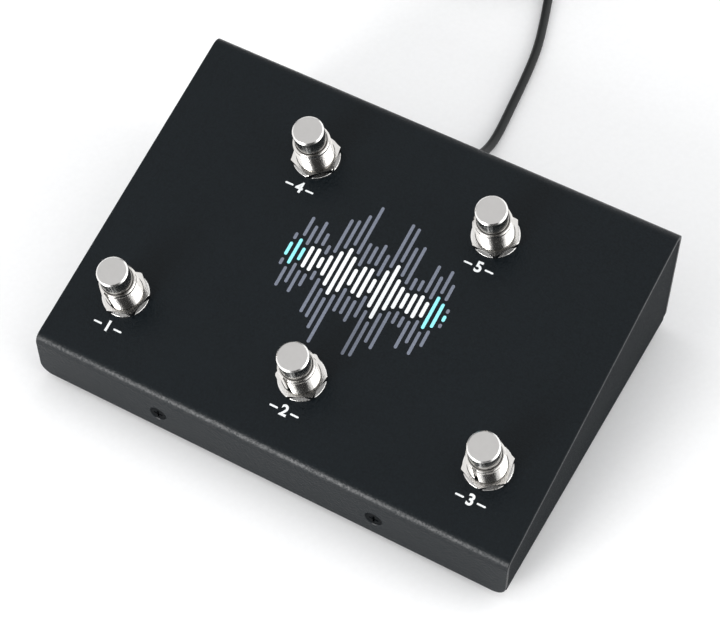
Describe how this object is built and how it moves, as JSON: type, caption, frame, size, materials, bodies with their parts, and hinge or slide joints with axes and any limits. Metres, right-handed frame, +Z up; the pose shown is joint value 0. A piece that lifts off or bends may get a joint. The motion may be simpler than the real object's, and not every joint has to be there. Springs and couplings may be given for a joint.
{
  "type": "foot controller",
  "caption": "Sloping foot controller box of folded sheet metal with sprung momentary foot switches in its top, rubber feet and a captive cord that ends in a plug.",
  "frame": {"origin": "under the middle of the box, on the plane its rubber feet stand on", "axes": "+X to the right seen from the front, +Y to the rear, +Z up"},
  "size_m": [0.1704, 0.2941, 0.0645],
  "materials": {
    "cover_powder": "black fine-texture powder coat, printed in white and slate",
    "tray_powder": "black fine-texture powder coat",
    "foot_rubber": "matt black rubber",
    "black_screw": "black oxide steel",
    "plated_steel": "zinc-plated steel",
    "nickel": "bright nickel plate",
    "button_satin": "satin top with a bright bevelled rim",
    "spring_steel": "plain spring steel",
    "terminal_brass": "brass",
    "housing_plastic": "black moulded plastic",
    "board_green": "green solder mask",
    "chip_black": "black epoxy",
    "header_white": "off-white moulded plastic",
    "wire_jacket": "thin plastic wire jacket",
    "cord_jacket": "black flexible plastic jacket",
    "relief_rubber": "black flexible moulding",
    "tie_fabric": "black woven strap",
    "plug_plastic": "black overmould"
  },
  "bodies": {
    "case": {"top_cover": "cover_powder", "base_tray": "tray_powder", "rubber_feet": "foot_rubber", "cover_screws": "black_screw", "clinch_nuts": "plated_steel", "panel_washers": "nickel", "panel_nuts": "nickel", "lock_washers": "plated_steel", "inner_nuts": "nickel", "switch_terminals": "terminal_brass", "circuit_board": "board_green", "board_standoffs": "plated_steel", "board_screws": "plated_steel", "controller_chip": "chip_black", "crystal": "plated_steel", "board_headers": "header_white", "switch_wires": "wire_jacket", "inner_lead": "cord_jacket", "strain_relief": "relief_rubber", "cord_tube": "cord_jacket", "cord_coil": "cord_jacket", "cord_tie": "tie_fabric", "plug_body": "plug_plastic", "plug_shell": "nickel", "plug_insert": "header_white", "bushing_front_left": "nickel", "return_spring_front_left": "spring_steel", "housing_front_left": "housing_plastic", "bushing_front_middle": "nickel", "return_spring_front_middle": "spring_steel", "housing_front_middle": "housing_plastic", "bushing_front_right": "nickel", "return_spring_front_right": "spring_steel", "housing_front_right": "housing_plastic", "bushing_rear_left": "nickel", "return_spring_rear_left": "spring_steel", "housing_rear_left": "housing_plastic", "bushing_rear_right": "nickel", "return_spring_rear_right": "spring_steel", "housing_rear_right": "housing_plastic"},
    "press_front_left": {"button_front_left": "button_satin", "retaining_clip_front_left": "spring_steel", "contact_bridge_front_left": "terminal_brass"},
    "press_front_middle": {"button_front_middle": "button_satin", "retaining_clip_front_middle": "spring_steel", "contact_bridge_front_middle": "terminal_brass"},
    "press_front_right": {"button_front_right": "button_satin", "retaining_clip_front_right": "spring_steel", "contact_bridge_front_right": "terminal_brass"},
    "press_rear_left": {"button_rear_left": "button_satin", "retaining_clip_rear_left": "spring_steel", "contact_bridge_rear_left": "terminal_brass"},
    "press_rear_right": {"button_rear_right": "button_satin", "retaining_clip_rear_right": "spring_steel", "contact_bridge_rear_right": "terminal_brass"}
  },
  "joints": [
    {"name": "press_front_left", "type": "slide", "parent": "case", "child": "press_front_left", "axis": [0, 0.257, -0.9664], "range_m": [0, 0.0025], "stiffness_N_per_m": 1000, "springref_m": -0.002, "deforming": ["return_spring_front_left"]},
    {"name": "press_front_middle", "type": "slide", "parent": "case", "child": "press_front_middle", "axis": [0, 0.257, -0.9664], "range_m": [0, 0.0025], "stiffness_N_per_m": 1000, "springref_m": -0.002, "deforming": ["return_spring_front_middle"]},
    {"name": "press_front_right", "type": "slide", "parent": "case", "child": "press_front_right", "axis": [0, 0.257, -0.9664], "range_m": [0, 0.0025], "stiffness_N_per_m": 1000, "springref_m": -0.002, "deforming": ["return_spring_front_right"]},
    {"name": "press_rear_left", "type": "slide", "parent": "case", "child": "press_rear_left", "axis": [0, 0.257, -0.9664], "range_m": [0, 0.0025], "stiffness_N_per_m": 1000, "springref_m": -0.002, "deforming": ["return_spring_rear_left"]},
    {"name": "press_rear_right", "type": "slide", "parent": "case", "child": "press_rear_right", "axis": [0, 0.257, -0.9664], "range_m": [0, 0.0025], "stiffness_N_per_m": 1000, "springref_m": -0.002, "deforming": ["return_spring_rear_right"]}
  ]
}
